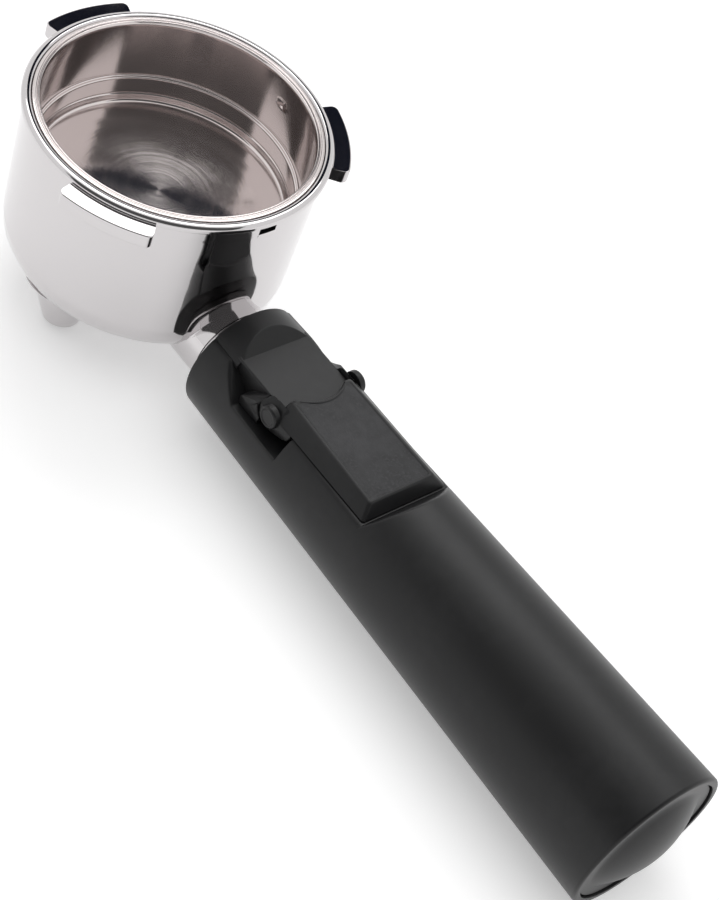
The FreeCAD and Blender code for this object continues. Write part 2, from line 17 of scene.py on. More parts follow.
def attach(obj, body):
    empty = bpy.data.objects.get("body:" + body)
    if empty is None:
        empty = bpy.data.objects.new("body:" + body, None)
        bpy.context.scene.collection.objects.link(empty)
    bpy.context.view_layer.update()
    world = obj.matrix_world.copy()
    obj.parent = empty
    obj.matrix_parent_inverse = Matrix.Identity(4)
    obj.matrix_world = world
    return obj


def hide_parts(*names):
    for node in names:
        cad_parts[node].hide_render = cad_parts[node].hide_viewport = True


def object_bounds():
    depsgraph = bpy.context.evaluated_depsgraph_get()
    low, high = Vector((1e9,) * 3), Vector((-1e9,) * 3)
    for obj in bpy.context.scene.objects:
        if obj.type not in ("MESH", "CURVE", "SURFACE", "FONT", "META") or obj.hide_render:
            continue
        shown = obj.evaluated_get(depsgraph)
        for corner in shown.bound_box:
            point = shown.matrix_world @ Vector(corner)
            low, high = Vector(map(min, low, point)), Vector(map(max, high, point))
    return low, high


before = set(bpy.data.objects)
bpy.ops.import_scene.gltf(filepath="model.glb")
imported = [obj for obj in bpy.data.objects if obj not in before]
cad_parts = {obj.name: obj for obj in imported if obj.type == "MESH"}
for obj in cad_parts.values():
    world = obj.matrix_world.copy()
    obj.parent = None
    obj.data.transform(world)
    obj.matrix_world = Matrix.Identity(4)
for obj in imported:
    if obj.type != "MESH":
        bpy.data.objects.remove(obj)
solid_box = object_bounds()
MM = 0.001
print("frame:", len(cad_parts), "solids, box", [[round(v, 4) for v in corner] for corner in solid_box])

# %% [markdown]
# ## Surfaces from arrays
# The pieces could be modelled by hand, with extrusions and bevels, but formulas are easier to change and
# check. A piece is a grid of points: one parameter runs along its rows and one along its columns. An array
# holds the whole grid, and a second array joins neighbouring points into quads.


# %% Grid helpers
def surface(points):
    """Quads between neighbours of a (rows, columns, 3) grid; the last column joins the first."""
    rows, cols = points.shape[:2]
    number = np.arange(rows * cols).reshape(rows, cols)
    number = np.concatenate([number, number[:, :1]], axis=1)
    quads = np.stack([number[:-1, :-1], number[:-1, 1:], number[1:, 1:], number[1:, :-1]], axis=-1)
    return points.reshape(-1, 3), quads.reshape(-1, 4)


def full_turn(count):
    return np.linspace(0, 2 * math.pi, count, endpoint=False)


def soft_min(first, second, blend):
    """The lower of two heights, rounded where they cross.

    min(first, second) - blend / 4 * max(1 - |first - second| / blend, 0)^2.
    """
    near = np.maximum(1 - np.abs(first - second) / blend, 0)
    return np.minimum(first, second) - near ** 2 * blend / 4


print("grid helpers: surface, full_turn, soft_min")

# %% [markdown]
# Turned parts need only a profile. No real edge is quite sharp, so the corners of a profile are rounded
# first, by true arcs: a quadratic curve with a weight of sin(half the inner angle) is exactly a piece of a
# circle. A Bevel modifier would round them too, but arcs in the profile keep the rows of the grid in order.

# %% Profile helpers
# An arc takes at most this share of the shorter side; a guard point lies a little beyond its end.
ROOM_SHARE = 0.45
GUARD = 0.05
GUARD_SHARE = 1.05


def filleted(corners, reach, steps=6):
    """Polyline whose inner corners become arcs that start and end `reach` from the corner.

    With w = sin(inner angle / 2) and s in 0..1, the arc from a round the corner c to b is
    ((1-s)^2 a + 2 w s (1-s) c + s^2 b) / ((1-s)^2 + 2 w s (1-s) + s^2).
    A guard point on each side of the arc keeps the flats beside it flat in the light.
    """
    corners = np.asarray(corners, float)
    middle = corners[1:-1]
    back = corners[:-2] - middle
    ahead = corners[2:] - middle
    back_length = np.linalg.norm(back, axis=1, keepdims=True)
    ahead_length = np.linalg.norm(ahead, axis=1, keepdims=True)
    back = back / back_length
    ahead = ahead / ahead_length
    room = np.minimum(back_length, ahead_length) * ROOM_SHARE
    reach = np.minimum(np.broadcast_to(reach, len(middle))[:, None], room)
    weight = np.sqrt((1 - (back * ahead).sum(1)) / 2)[:, None, None]
    s = np.linspace(0, 1, steps)[None, :, None]
    start = (middle + back * reach)[:, None]
    end = (middle + ahead * reach)[:, None]
    top = (1 - s) ** 2 * start + 2 * weight * s * (1 - s) * middle[:, None] + s ** 2 * end
    arcs = top / ((1 - s) ** 2 + 2 * weight * s * (1 - s) + s ** 2)
    guard_reach = np.minimum(reach + GUARD, room * GUARD_SHARE)
    before = (middle + back * guard_reach)[:, None]
    after = (middle + ahead * guard_reach)[:, None]
    bends = np.concatenate([before, arcs, after], axis=1).reshape(-1, 2)
    return np.concatenate([corners[:1], bends, corners[-1:]])


def turned(profile, angles, along, centre):
    """A (radius, height) profile carried round an axis: r cos a, r sin a, and the height along it."""
    radius, height = np.asarray(profile, float).T
    ring = np.stack([np.outer(radius, np.cos(angles)), np.outer(radius, np.sin(angles)),
                     np.outer(height, np.ones_like(angles))], axis=-1)
    order = {"x": [2, 0, 1], "y": [1, 2, 0]}[along]
    return surface(ring[..., order] + np.asarray(centre, float))


print("profile helpers: filleted, turned")

# %% [markdown]
# ## Patterns that several finishes share
# Three effects turn up in more than one finish, so each is a node group: a moulded grain, the lines that
# a lathe leaves round an axis, and the faint marks of hands and cloths. They could be drawn into each
# material, but a group is built once and takes its own values in each place. A group gives out only
# values; the shader stays in the material. First come small helpers that add one node and link it.


# %% Node helpers
def new_group(name, inputs, outputs):
    """An empty shader group with named inputs (name, kind, value) and float outputs."""
    tree = bpy.data.node_groups.new(name, "ShaderNodeTree")
    for label, kind, value in inputs:
        socket = tree.interface.new_socket(label, in_out="INPUT", socket_type=kind)
        if value is not None:
            socket.default_value = value
    for label in outputs:
        tree.interface.new_socket(label, in_out="OUTPUT", socket_type="NodeSocketFloat")
    return tree, tree.nodes.new("NodeGroupInput"), tree.nodes.new("NodeGroupOutput")


def feed(tree, value, socket):
    """A socket takes another socket's link, or a plain number."""
    if isinstance(value, bpy.types.NodeSocket):
        tree.links.new(value, socket)
    else:
        socket.default_value = value


def math_node(tree, operation, first, second=None):
    node = tree.nodes.new("ShaderNodeMath")
    node.operation = operation
    feed(tree, first, node.inputs[0])
    if second is not None:
        feed(tree, second, node.inputs[1])
    return node.outputs[0]


def noise_node(tree, vector, scale, detail, dimensions="3D"):
    node = tree.nodes.new("ShaderNodeTexNoise")
    node.noise_dimensions = dimensions
    node.inputs["Detail"].default_value = detail
    tree.links.new(vector, node.inputs["W" if dimensions == "1D" else "Vector"])
    feed(tree, scale, node.inputs["Scale"])
    return node.outputs["Fac"]


def ranged(tree, value, low, high, start=0.0, end=1.0):
    """A value from start..end to low..high, and no further."""
    node = tree.nodes.new("ShaderNodeMapRange")
    tree.links.new(value, node.inputs["Value"])
    for label, limit in (("From Min", start), ("From Max", end), ("To Min", low), ("To Max", high)):
        feed(tree, limit, node.inputs[label])
    return node.outputs["Result"]


print("node helpers: new_group, feed, math_node, noise_node, ranged")

# %% Node groups
DRIFT_SCALE = 45.0
RING_SCALE = 700.0
HEIGHT_SHARE = 0.83
PATCH_SCALE = 60.0
BREAK_SCALE = 420.0
CLEAN_BELOW = 0.42
SMUDGED_ABOVE = 0.72


def make_grain():
    """Moulded grain: fine noise as a height, and a roughness that drifts between two values."""
    tree, given, out = new_group("moulded_grain", [
        ("Vector", "NodeSocketVector", None), ("Scale", "NodeSocketFloat", 3000.0),
        ("Smoothest", "NodeSocketFloat", 0.4), ("Roughest", "NodeSocketFloat", 0.5)],
        ["Height", "Roughness"])
    fine = noise_node(tree, given.outputs["Vector"], given.outputs["Scale"], 2.0)
    drift = noise_node(tree, given.outputs["Vector"], DRIFT_SCALE, 4.0)
    tree.links.new(fine, out.inputs["Height"])
    tree.links.new(ranged(tree, drift, given.outputs["Smoothest"], given.outputs["Roughest"]),
                   out.inputs["Roughness"])
    return tree


def make_turning():
    """Lathe lines: noise over distance from the axis plus a share of the height; rings: distance alone."""
    tree, given, out = new_group("turning_lines", [
        ("Vector", "NodeSocketVector", None), ("Lines per metre", "NodeSocketFloat", 4000.0)],
        ["Height", "Rings"])
    split = tree.nodes.new("ShaderNodeSeparateXYZ")
    tree.links.new(given.outputs["Vector"], split.inputs[0])
    x, y, z = split.outputs
    distance = math_node(tree, "SQRT", math_node(tree, "ADD", math_node(tree, "MULTIPLY", x, x),
                                                 math_node(tree, "MULTIPLY", y, y)))
    along = math_node(tree, "ADD", distance, math_node(tree, "MULTIPLY", z, HEIGHT_SHARE))
    lines = noise_node(tree, along, given.outputs["Lines per metre"], 3.0, "1D")
    rings = noise_node(tree, distance, RING_SCALE, 2.0, "1D")
    tree.links.new(lines, out.inputs["Height"])
    tree.links.new(rings, out.inputs["Rings"])
    return tree


def make_marks():
    """Handling marks: soft patches, broken up by a finer noise; 0 is clean and 1 is smudged."""
    tree, given, out = new_group("handling_marks", [("Vector", "NodeSocketVector", None)], ["Mask"])
    patches = noise_node(tree, given.outputs["Vector"], PATCH_SCALE, 5.0)
    broken = noise_node(tree, given.outputs["Vector"], BREAK_SCALE, 3.0)
    mixed = math_node(tree, "MULTIPLY", patches, math_node(tree, "ADD", broken, 0.5))
    tree.links.new(ranged(tree, mixed, 0.0, 1.0, CLEAN_BELOW, SMUDGED_ABOVE), out.inputs["Mask"])
    return tree


grain_group = make_grain()
turning_group = make_turning()
marks_group = make_marks()
print("groups:", [group.name for group in (grain_group, turning_group, marks_group)])

# %% [markdown]
# ## Finishes
# Every finish starts as a Principled shader with plain values, fed by Object coordinates: those are the
# metres of the frame, so a pattern has a real size and stays on its piece. Bumps give a height in metres.


# %% Material helpers
def new_finish(name, colour, metallic, roughness):
    finish = bpy.data.materials.new(name)
    finish.use_nodes = True
    shader = finish.node_tree.nodes["Principled BSDF"]
    shader.inputs["Base Color"].default_value = (*colour, 1)
    shader.inputs["Metallic"].default_value = metallic
    shader.inputs["Roughness"].default_value = roughness
    finish.diffuse_color = (*colour, 1)
    coordinates = finish.node_tree.nodes.new("ShaderNodeTexCoord")
    return finish, finish.node_tree, shader, coordinates.outputs["Object"]


def use_group(tree, group, vector, **values):
    node = tree.nodes.new("ShaderNodeGroup")
    node.node_tree = group
    tree.links.new(vector, node.inputs["Vector"])
    for label, value in values.items():
        node.inputs[label.replace("_", " ")].default_value = value
    return node


def bump(tree, height, distance, under=None):
    """A bump from a height in 0..1, distance metres high, on top of another bump."""
    node = tree.nodes.new("ShaderNodeBump")
    node.inputs["Distance"].default_value = distance
    tree.links.new(height, node.inputs["Height"])
    if under is not None:
        tree.links.new(under, node.inputs["Normal"])
    return node.outputs["Normal"]


print("material helpers: new_finish, use_group, bump")

# %% [markdown]
# Bright plating is a metal with little roughness: what it shows is its surroundings, so its own detail is
# faint polishing lines, a soft waviness from the casting below, and smudges. The liner is the same idea in
# warmer steel. It was spun, which leaves fine grooves round the axis. Each groove spreads light across
# itself, and that makes the bright and dark wedges on its floor. Real grooves would need millions of faces;
# the shader's anisotropy, with a tangent round the Z axis, gives the same wedges.

# %% Metals
WAVE_SCALE = 90.0
RING_ROUGHNESS = 0.4
ACROSS_GROOVES = 0.25


def make_metal(name, colour, smooth, smudged, lines, line_depth, wave_depth, ring_depth=1.0e-6, spun=0.0):
    """Metal with waves, lathe lines and rings; roughness runs from smooth to smudged."""
    finish, tree, shader, where = new_finish(name, colour, metallic=1.0, roughness=smooth)
    marks = use_group(tree, marks_group, where)
    turning = use_group(tree, turning_group, where, Lines_per_metre=lines)
    waves = noise_node(tree, where, WAVE_SCALE, 2.0)
    normal = bump(tree, turning.outputs["Height"], line_depth, under=bump(tree, waves, wave_depth))
    normal = bump(tree, turning.outputs["Rings"], ring_depth, under=normal)
    rough = math_node(tree, "ADD", ranged(tree, marks.outputs["Mask"], smooth, smudged),
                      math_node(tree, "MULTIPLY", turning.outputs["Rings"], RING_ROUGHNESS * smooth))
    tree.links.new(rough, shader.inputs["Roughness"])
    tree.links.new(normal, shader.inputs["Normal"])
    if spun:
        tangent = tree.nodes.new("ShaderNodeTangent")
        tangent.direction_type = "RADIAL"
        tangent.axis = "Z"
        tree.links.new(tangent.outputs["Tangent"], shader.inputs["Tangent"])
        shader.inputs["Anisotropic"].default_value = spun
        shader.inputs["Anisotropic Rotation"].default_value = ACROSS_GROOVES
    return finish


chrome = make_metal("bright_plating", (0.60, 0.58, 0.585), smooth=0.05, smudged=0.09, lines=2600.0,
                    line_depth=5.0e-7, wave_depth=1.0e-4)
steel = make_metal("spun_steel", (0.68, 0.625, 0.615), smooth=0.10, smudged=0.13, lines=3000.0,
                   line_depth=1.0e-7, wave_depth=6.0e-6, ring_depth=2.5e-5, spun=0.9)
zinc = make_metal("zinc_plate", (0.55, 0.55, 0.54), smooth=0.28, smudged=0.4, lines=2000.0,
                  line_depth=2.0e-6, wave_depth=2.0e-5)
# A near-black metal that paints shade: it goes on the faces inside the window, in place of the plating's
# reflections there.
painted_shade_metal = make_metal("casting_in_shade", (0.03, 0.03, 0.032), smooth=0.5, smudged=0.6, lines=1500.0,
                          line_depth=2.0e-6, wave_depth=2.0e-5)
print("metals:", [finish.name for finish in (chrome, steel, zinc, painted_shade_metal)])

# %% [markdown]
# The handle's plastics are near black, and are told apart by gloss and grain: the shell and the core are
# satin from a fine grain in the mould, and the lever's flat has a coarser spark texture for the thumb. An
# image of a grain would repeat; noise doesn't.

# %% Plastics
GLOSS = 0.32
PALER = 1.25
PALE_BASE = 0.002
GRAIN_MIDDLE = 0.45
GRAIN_CONTRAST = 4.0


def make_plastic(name, colour, scale, depth, smoothest, roughest, speckle=0.0):
    """Near-black plastic with a moulded grain; smudges and the tops of a coarse grain are paler."""
    finish, tree, shader, where = new_finish(name, colour, metallic=0.0, roughness=roughest)
    shader.inputs["Specular IOR Level"].default_value = GLOSS
    grain = use_group(tree, grain_group, where, Scale=scale, Smoothest=smoothest, Roughest=roughest)
    marks = use_group(tree, marks_group, where)
    tint = tree.nodes.new("ShaderNodeMix")
    tint.data_type = "RGBA"
    tint.inputs["A"].default_value = (*colour, 1)
    tint.inputs["B"].default_value = (*[(PALER + speckle) * v + PALE_BASE for v in colour], 1)
    above = math_node(tree, "SUBTRACT", grain.outputs["Height"], GRAIN_MIDDLE)
    tops = math_node(tree, "MULTIPLY", above, GRAIN_CONTRAST * speckle)
    tree.links.new(math_node(tree, "MAXIMUM", marks.outputs["Mask"], tops), tint.inputs["Factor"])
    tree.links.new(tint.outputs["Result"], shader.inputs["Base Color"])
    tree.links.new(grain.outputs["Roughness"], shader.inputs["Roughness"])
    tree.links.new(bump(tree, grain.outputs["Height"], depth), shader.inputs["Normal"])
    return finish


shell_plastic = make_plastic("handle_satin", (0.008, 0.008, 0.0085), scale=5200.0, depth=4.0e-6,
                             smoothest=0.34, roughest=0.42)
core_plastic = make_plastic("core_satin", (0.010, 0.010, 0.0105), scale=5200.0, depth=4.0e-6,
                            smoothest=0.36, roughest=0.44)
lever_plastic = make_plastic("lever_spark_texture", (0.012, 0.012, 0.013), scale=1900.0, depth=9.0e-5,
                             smoothest=0.44, roughest=0.52, speckle=1.0)
print("plastics:", [finish.name for finish in (shell_plastic, core_plastic, lever_plastic)])

# %% [markdown]
# ## From grids to a piece
# One piece of the object is often several grids. They could be joined as objects, but it is simpler to put
# their points and quads in one mesh. Doubled points are merged, so that seams and poles close, and the faces
# are turned outward. Shading is smooth except where two faces meet at more than the crease angle.

# %% Turn surfaces into a piece
MERGE_WITHIN = 2e-6
NO_LENGTH = 1e-7


def piece(name, surfaces, finishes, body, slot, *nodes, crease=38.0):
    """One mesh from several grids: doubles merged, faces outward, smooth except at creases."""
    starts = np.cumsum([0] + [len(points) for points, quads in surfaces])
    points = np.concatenate([points for points, quads in surfaces]) * MM
    quads = np.concatenate([quads + start for (grid, quads), start in zip(surfaces, starts)])
    mesh = bpy.data.meshes.new(name)
    mesh.from_pydata(points.tolist(), [], quads.tolist())
    work = bmesh.new()
    work.from_mesh(mesh)
    bmesh.ops.remove_doubles(work, verts=work.verts, dist=MERGE_WITHIN)
    bmesh.ops.dissolve_degenerate(work, edges=work.edges, dist=NO_LENGTH)
    bmesh.ops.recalc_face_normals(work, faces=work.faces)
    open_edges = sum(edge.is_boundary for edge in work.edges)
    work.to_mesh(mesh)
    work.free()
    mesh.shade_smooth()
    mesh.set_sharp_from_angle(angle=math.radians(crease))
    item = bpy.data.objects.new(name, mesh)
    bpy.context.scene.collection.objects.link(item)
    for finish in finishes:
        mesh.materials.append(finish)
    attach(item, body)
    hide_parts(*nodes)
    print("%s: %d faces, %d open edges" % (name, len(mesh.polygons), open_edges))
    return item


def face_values(item, kind):
    """One vector for each face of a piece: its center or its normal."""
    values = np.empty(len(item.data.polygons) * 3)
    item.data.polygons.foreach_get(kind, values)
    return values.reshape(-1, 3)


print("pieces merge points within", MERGE_WITHIN, "m")

# %% [markdown]
# ## Cup casting
# The real cup is cast, turned and plated. It is a turned shape, but three lugs and a small window break its
# rim. Boolean cuts could make them, and would leave ragged faces that show in bright plating. Here the three
# kinds of place have profiles with the same number of corners: on a lug the corners stand out, at the window
# they go in, and on the plain wall they lie on it.

# %% Profiles of wall, lug and window
RIM_RADIUS = 31.0
RIM_UNDER = -1.6
WALL_RADIUS = 30.3
BASE_RADIUS = 29.3
BASE_Z = -39.1
BASE_ROUND = 9.0
CHAMBER_RADIUS = 27.25
CHAMBER_FLOOR = -36.9
SEAT_RADIUS = 28.05
SEAT_Z = -14.8
LIP_SEAT_RADIUS = 29.05
LIP_SEAT_Z = -0.85
inside = [(0, CHAMBER_FLOOR), (CHAMBER_RADIUS, CHAMBER_FLOOR), (CHAMBER_RADIUS, SEAT_Z),
          (SEAT_RADIUS, SEAT_Z), (SEAT_RADIUS, LIP_SEAT_Z), (LIP_SEAT_RADIUS, LIP_SEAT_Z),
          (LIP_SEAT_RADIUS, -0.35), (29.45, -0.06), (30.0, 0), (30.55, -0.14), (RIM_RADIUS, -0.62)]
inside_reach = [6, 0.2, 0.2, 0.2, 0.1, 0.22, 0.22, 0.25, 0.3, 0.27]
plain = [(RIM_RADIUS, RIM_UNDER), (WALL_RADIUS, -1.7), (30.29, -1.9), (30.285, -2.3), (30.27, -3.0),
         (30.26, -3.5), (30.25, -3.95), (30.22, -4.6)]
plain_reach = [0.2, 0.15, 0.05, 0.05, 0.05, 0.05, 0.05, 0.05]

LUG_RADIUS = 34.68
LUG_TOP = -1.2
LUG_UNDER = -4.2
lug = [(RIM_RADIUS, LUG_TOP), (LUG_RADIUS, LUG_TOP), (LUG_RADIUS, -1.9), (LUG_RADIUS, -2.4),
       (LUG_RADIUS, -2.9), (LUG_RADIUS, -3.4), (LUG_RADIUS, LUG_UNDER), (30.23, LUG_UNDER)]
lug_reach = [0.12, 0.3, 0.05, 0.05, 0.05, 0.05, 0.3, 0.25]

WINDOW_BACK = 28.3
WINDOW_TOP = -1.74
WINDOW_SILL = -3.9
window = [(RIM_RADIUS, RIM_UNDER), (WALL_RADIUS, -1.68), (30.29, WINDOW_TOP), (WINDOW_BACK, WINDOW_TOP),
          (WINDOW_BACK, WINDOW_SILL), (30.27, WINDOW_SILL), (30.25, -4.1), (30.22, -4.6)]
window_reach = [0.2, 0.05, 0.02, 0.05, 0.05, 0.05, 0.05, 0.05]

base = [(BASE_RADIUS, BASE_Z), (0, BASE_Z)]
profiles = [filleted(inside + places + base, inside_reach + reach + [BASE_ROUND])
            for places, reach in ((plain, plain_reach), (lug, lug_reach), (window, window_reach))]
print("casting profiles:", [len(profile) for profile in profiles], "points")

# %% [markdown]
# One grid then takes each column from the profile of its own angle. Columns come in close pairs at the edges
# of lugs and window, so their sides stand upright. A lug's outer corners are rounded in plan: near its ends
# the radius drops by the sagitta of a small circle.

# %% Casting grid
LUG_HALF = math.radians(16.5)
LUG_CORNER = 1.2
LUG_CORNER_ANGLE = LUG_CORNER / LUG_RADIUS
WINDOW_WIDTH = 4.0
WINDOW_HALF = math.asin(WINDOW_WIDTH / 2 / WALL_RADIUS)
ON_EDGE = 1e-6
lug_middles = np.radians([180, 300, 60])
lug_steps = np.radians([-2.4, -2.0, -1.6, -1.2, -0.85, -0.55, -0.3, -0.12, 0, 0.02, 0.3])
window_steps = np.radians([-0.3, 0, 0.02, 0.3])
lug_columns = [middle + side * (LUG_HALF + lug_steps) for middle in lug_middles for side in (1, -1)]
window_columns = [side * (WINDOW_HALF + window_steps) for side in (1, -1)]
columns = np.concatenate([full_turn(300)] + lug_columns + window_columns)
columns = np.unique(np.round(columns % (2 * math.pi), 7))

off_lug = np.abs((columns[:, None] - lug_middles + math.pi) % (2 * math.pi) - math.pi).min(1)
on_lug = off_lug <= LUG_HALF + ON_EDGE
in_window = np.minimum(columns, 2 * math.pi - columns) <= WINDOW_HALF + ON_EDGE
into_corner = np.clip(off_lug - LUG_HALF + LUG_CORNER_ANGLE, 0, LUG_CORNER_ANGLE) * LUG_RADIUS
corner_drop = LUG_CORNER - np.sqrt(LUG_CORNER ** 2 - into_corner ** 2)

kind = np.where(on_lug, 1, np.where(in_window, 2, 0))
chosen = np.stack(profiles)[kind]
radius = chosen[..., 0].T
height = chosen[..., 1].T
out_on_lug = np.clip((radius - RIM_RADIUS) / (LUG_RADIUS - RIM_RADIUS), 0, 1)
radius = radius - np.where(on_lug, corner_drop, 0) * out_on_lug
casting = surface(np.stack([radius * np.cos(columns), radius * np.sin(columns), height], axis=-1))
print("casting grid:", radius.shape)

# %% [markdown]
# The neck leaves the cup low at the side, and hangs a little below the base. A fillet joins the two, as in
# any casting. A bevel can't round the line where two separate surfaces cross, so the neck makes its own
# fillet: its radius grows near the cup by the height of a quarter round, which depends only on the distance
# to the cup. For a drum with a rounded base, that distance has a short formula.

# %% Distance and fillet
HANDLE_Z = -35.0


def distance_to_cup(x, y, z):
    """Distance to a drum whose lower edge is rounded: |max(q, 0)| - round, with q measured from the round."""
    out = np.hypot(x, y) - (BASE_RADIUS - BASE_ROUND)
    down = BASE_Z + BASE_ROUND - z
    beyond = np.hypot(np.maximum(out, 0), np.maximum(down, 0))
    return beyond + np.minimum(np.maximum(out, down), 0) - BASE_ROUND


def fillet_height(gap, radius):
    """How far a quarter round stands out at a gap: radius - sqrt(radius^2 - (radius - gap)^2)."""
    gap = np.clip(gap, 0, radius)
    return radius - np.sqrt(radius ** 2 - (radius - gap) ** 2)


print("handle axis at z =", HANDLE_Z)

# %% Neck and finished casting
NECK_RADIUS = 9.3
NECK_FILLET = 0.3
NECK_INNER_X = 15.0
NECK_END_X = 31.8
FLARE_FROM_X = 18.0
# The inner end is a hidden ball; rows lie closest where the neck leaves the cup.
inner_end = NECK_INNER_X - NECK_RADIUS * np.cos(np.linspace(0.1, 1.5, 16))
neck_x = np.concatenate([[NECK_INNER_X - NECK_RADIUS], inner_end, np.linspace(15.5, 24.5, 10),
                         np.linspace(24.8, NECK_END_X, 50), [NECK_END_X]])
ball_r = np.sqrt(np.maximum(NECK_RADIUS ** 2 - (neck_x - NECK_INNER_X) ** 2, 0))
neck_r = np.where(neck_x < NECK_INNER_X, ball_r, NECK_RADIUS)
neck_r[-1] = 0
turn = full_turn(160)
x = np.broadcast_to(neck_x[:, None], (len(neck_x), len(turn)))
y = np.outer(neck_r, np.sin(turn))
z = np.outer(neck_r, np.cos(turn)) + HANDLE_Z
flare = fillet_height(distance_to_cup(x, y, z), NECK_FILLET)
flared = (neck_x[:, None] > FLARE_FROM_X) & (neck_r[:, None] > 0)
grown = neck_r[:, None] + np.where(flared, flare, 0)
neck = surface(np.stack([x, grown * np.sin(turn), grown * np.cos(turn) + HANDLE_Z], axis=-1))
# The casting's second finish is painted shade, for the faces inside the window.
cup = piece("cup_casting", [casting, neck], [chrome, painted_shade_metal], "holder", "chrome", "cup_body")

# %% [markdown]
# The inside of the window is painted dark as painted shade, since bright plating there would mirror its
# surroundings and look too light. A piece of its own would need a seam, so the faces there are found by their
# middles and take the second material of the casting, a near-black metal that paints the shade.

# %% Painted shade inside the window
MARGIN = 0.1
BEHIND_WALL = 0.2
BEHIND_BACK = 0.4
centres = face_values(cup, "center") / MM
window_shade_faces = np.hypot(centres[:, 0], centres[:, 1]) < WALL_RADIUS - BEHIND_WALL
window_shade_faces &= (centres[:, 0] > WINDOW_BACK - BEHIND_BACK) & (np.abs(centres[:, 1]) < WINDOW_WIDTH / 2 + MARGIN)
window_shade_faces &= (centres[:, 2] < RIM_UNDER) & (centres[:, 2] > WINDOW_SILL - MARGIN)
cup.data.polygons.foreach_set("material_index", window_shade_faces.astype(np.int32))
print("window faces in shade:", int(window_shade_faces.sum()))

# %% [markdown]
# ## Pressed liner
# The liner drops into the cup. Its rolled lip lies beside the rim with a fine gap, and below it come the
# bore, the ledge that carries a filter, a bead and the floor. The drain hole is off centre, so rings about
# the middle can't make it. Instead the floor runs along straight lines from the hole's edge to the floor's
# edge, and the turned wall takes its columns from where those lines end. So the seam between them closes.

# %% Liner floor
FLOOR_EDGE = 24.4
FLOOR_Z = -20.0
FLOOR_UNDER = -20.8
FLOOR_DISH = 0.25
FLOOR_ROWS = 26
HOLE_X = 17.0
HOLE_RADIUS = 2.5

spread = full_turn(420)
reach_out = -HOLE_X * np.cos(spread) + np.sqrt(FLOOR_EDGE ** 2 - (HOLE_X * np.sin(spread)) ** 2)
wall_angle = np.arctan2(reach_out * np.sin(spread), HOLE_X + reach_out * np.cos(spread))


def floor_height(distance):
    """The floor is dished in the middle: z - dish * (1 - (distance / edge)^2)."""
    return FLOOR_Z - FLOOR_DISH * (1 - (distance / FLOOR_EDGE) ** 2)


share = np.concatenate([1 - np.linspace(0, 1, FLOOR_ROWS), np.zeros(1), np.linspace(0, 1, 6)])
under = np.arange(len(share)) >= FLOOR_ROWS
along = HOLE_RADIUS + np.outer(share, reach_out - HOLE_RADIUS)
floor_x = HOLE_X + along * np.cos(spread)
floor_y = along * np.sin(spread)
floor_z = np.where(under[:, None], FLOOR_UNDER, floor_height(np.hypot(floor_x, floor_y)))
liner_floor = surface(np.stack([floor_x, floor_y, floor_z], axis=-1))
print("liner floor:", floor_x.shape)

# %% Liner wall
BORE = 27.2
LEDGE_RADIUS = 26.4
LINER_RADIUS = 28.0
LIP_UNDER = -0.8
DIMPLE_ROWS = 24
liner_corners = [
    (FLOOR_EDGE, FLOOR_Z), (26.15, FLOOR_Z), (LEDGE_RADIUS, -18.5), (26.7, -18.2), (LEDGE_RADIUS, -17.8),
    (LEDGE_RADIUS, -14.05), (BORE, -13.95), (BORE, -7.6), (BORE, -4.2), (BORE, -0.75), (27.55, -0.14),
    (27.86, -0.14), (27.93, -0.3), (28.0, -0.14), (28.25, 0), (28.6, -0.14), (28.92, -0.16),
    (28.95, LIP_UNDER), (LINER_RADIUS, LIP_UNDER), (LINER_RADIUS, SEAT_Z), (BORE, SEAT_Z),
    (BORE, FLOOR_UNDER), (FLOOR_EDGE, FLOOR_UNDER)]
liner_reach = [0.8, 0.1, 0.12, 0.15, 0.3, 0.25, 0.01, 0.01, 0.3, 0.15, 0.03, 0.03, 0.03, 0.12, 0.1, 0.1, 0.1,
               0.1, 0.3, 0.2, 2.3]
outline = filleted(liner_corners, liner_reach, steps=5)
# The bore gets close rows where the dimples will lie.
dimple_rows = np.column_stack([np.full(DIMPLE_ROWS, BORE), np.linspace(-7.55, -4.25, DIMPLE_ROWS)])
rows_from = int(np.argmax(outline[:, 1] > -7.65))
rows_to = int(np.argmax(outline[:, 1] > -4.3))
outline = np.concatenate([outline[:rows_from], dimple_rows, outline[rows_to:]])
ring_r = np.repeat(outline[:, :1], len(wall_angle), axis=1)
ring_z = np.repeat(outline[:, 1:], len(wall_angle), axis=1)
print("liner profile:", len(outline), "points")

# %% [markdown]
# Two small snap dimples face each other in the bore and hold a filter. They could be sculpted, but each is a
# cap of a ball whose middle lies inside the bore: within the cap the wall moves out to the ball.

# %% Dimples and the finished liner
DIMPLE_BALL = 1.6
DIMPLE_INSIDE = 1.1
DIMPLE_Z = -5.9
DIMPLE_ZONE = (-9.0, -3.0)
inner_wall = np.isclose(ring_r, BORE) & (ring_z > DIMPLE_ZONE[0]) & (ring_z < DIMPLE_ZONE[1])
for side in (math.pi / 2, -math.pi / 2):
    off_side = (wall_angle - side + math.pi) % (2 * math.pi) - math.pi
    away = np.hypot(BORE * off_side, ring_z - DIMPLE_Z)
    ball = BORE - DIMPLE_INSIDE + np.sqrt(np.maximum(DIMPLE_BALL ** 2 - away ** 2, 0))
    ring_r = np.where(inner_wall, np.maximum(ring_r, ball), ring_r)
liner_wall = surface(np.stack([ring_r * np.cos(wall_angle), ring_r * np.sin(wall_angle), ring_z], axis=-1))
piece("pressed_liner", [liner_floor, liner_wall], [steel], "holder", "stainless", "inner_cup")

# %% [markdown]
# ## Outlets
# Coffee leaves by two short, tapered outlets that are cast in one with the cup. Two cones joined to it by a
# Boolean would meet the base in a hard line. Here each outlet is turned, and near the cup it widens by a
# quarter round, as the neck does. Both come from one profile, so a loop makes the pair.

